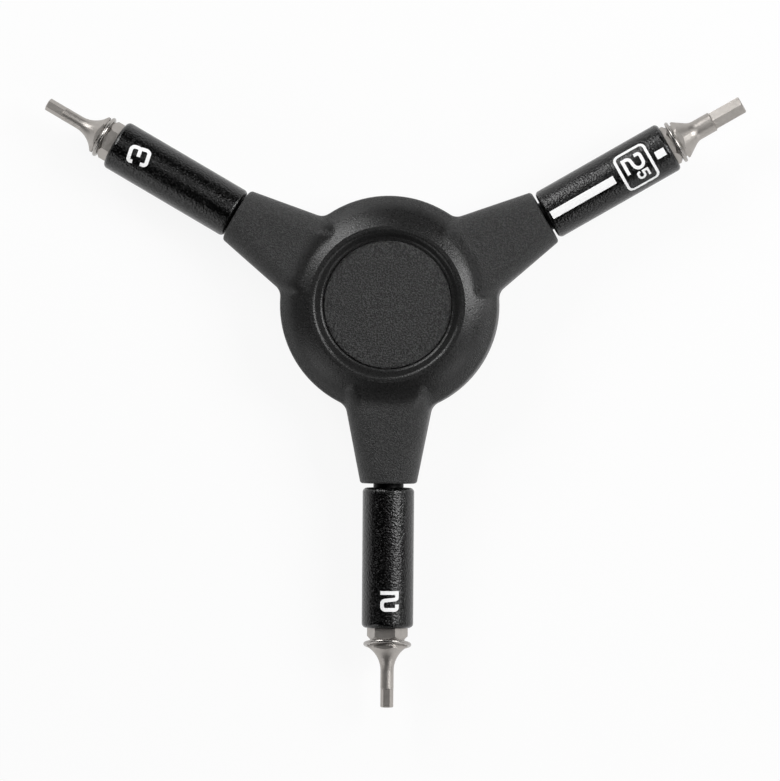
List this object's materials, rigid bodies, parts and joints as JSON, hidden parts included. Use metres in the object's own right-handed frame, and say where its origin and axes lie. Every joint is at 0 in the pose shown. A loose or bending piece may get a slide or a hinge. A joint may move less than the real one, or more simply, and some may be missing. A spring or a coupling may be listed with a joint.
{
  "type": "y wrench",
  "caption": "Y-shaped hex wrench: a round moulded hub with tapered arms, each with a steel hex bit and a black grip sleeve that spins on its shank.",
  "frame": {"origin": "the point in the middle of the hub where the axes of the three shanks cross", "axes": "+Z out of the front cap, the bottom arm along -Y, the right arm 30 degrees above +X, the left arm 30 degrees above -X"},
  "size_m": [0.1253, 0.1091, 0.015],
  "materials": {
    "moulded_nylon": "satin black, fine grain on the flat faces",
    "cap_nylon": "fine grained black",
    "sleeve_coat": "glossy black coat with a pebbled texture",
    "bush_acetal": "smooth dark grey",
    "bit_steel": "warm grey satin",
    "ring_steel": "bright spring wire",
    "core_aluminium": "as machined",
    "pin_steel": "ground"
  },
  "bodies": {
    "wrench": {"body": "moulded_nylon", "hub_core": "core_aluminium", "front_cap": "cap_nylon", "rear_cap": "cap_nylon", "lock_pin_left": "pin_steel", "shaft_left": "bit_steel", "ring_left": "ring_steel", "lock_pin_right": "pin_steel", "shaft_right": "bit_steel", "ring_right": "ring_steel", "lock_pin_bottom": "pin_steel", "shaft_bottom": "bit_steel", "ring_bottom": "ring_steel"},
    "bush_left": {"bush_left": "bush_acetal"},
    "sleeve_left": {"sleeve_left": "sleeve_coat"},
    "bush_right": {"bush_right": "bush_acetal"},
    "sleeve_right": {"sleeve_right": "sleeve_coat"},
    "bush_bottom": {"bush_bottom": "bush_acetal"},
    "sleeve_bottom": {"sleeve_bottom": "sleeve_coat"}
  },
  "joints": [
    {"name": "sleeve_slide_left", "type": "slide", "parent": "wrench", "child": "bush_left", "axis": [-0.866, 0.5, 0], "range_m": [-0.0002, 0.002]},
    {"name": "sleeve_spin_left", "type": "hinge", "parent": "bush_left", "child": "sleeve_left", "pos_m": [-0.03858, 0.02227, 0], "axis": [-0.866, 0.5, 0], "continuous": true},
    {"name": "sleeve_slide_right", "type": "slide", "parent": "wrench", "child": "bush_right", "axis": [0.866, 0.5, 0], "range_m": [-0.00035, 0.001]},
    {"name": "sleeve_spin_right", "type": "hinge", "parent": "bush_right", "child": "sleeve_right", "pos_m": [0.03871, 0.02235, 0], "axis": [0.866, 0.5, 0], "continuous": true},
    {"name": "sleeve_slide_bottom", "type": "slide", "parent": "wrench", "child": "bush_bottom", "axis": [0, -1, 0], "range_m": [-0.0007, 0.0017]},
    {"name": "sleeve_spin_bottom", "type": "hinge", "parent": "bush_bottom", "child": "sleeve_bottom", "pos_m": [0, -0.04505, 0], "axis": [0, -1, 0], "continuous": true}
  ]
}
